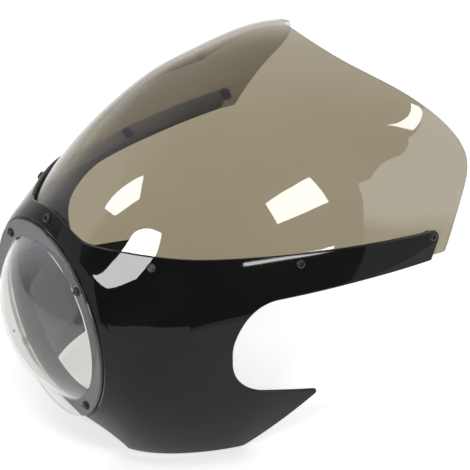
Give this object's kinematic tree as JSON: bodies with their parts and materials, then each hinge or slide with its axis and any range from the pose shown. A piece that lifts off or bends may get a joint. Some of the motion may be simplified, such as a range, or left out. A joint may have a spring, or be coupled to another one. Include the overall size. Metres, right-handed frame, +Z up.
{
  "type": "motorcycle headlight cowl",
  "caption": "Gloss black headlight cowl with side arms and cut-outs, a smoked windscreen fitted inside its upper edge and a clear domed lens over the round lamp opening.",
  "frame": {"origin": "centre of the lamp opening, on the seat plane that the lens flange lies on", "axes": "Y is the lamp axis with the nose towards -Y and the rear towards +Y, Z is up, X runs across and the part mirrors about X = 0"},
  "size_m": [0.396, 0.4381, 0.3749],
  "materials": {
    "cowl_shell": "gloss black moulding",
    "windscreen": "clear brown smoke tint, polished",
    "headlight_lens": "clear, polished",
    "fasteners": "black oxide",
    "washers": "black"
  },
  "bodies": {
    "root": {"cowl_shell": "cowl_shell", "windscreen": "windscreen", "headlight_lens": "headlight_lens", "lens_screws": "fasteners", "lens_washers": "washers", "lens_nuts": "fasteners", "windscreen_screws": "fasteners", "windscreen_washers": "washers", "windscreen_nuts": "fasteners"}
  },
  "joints": []
}
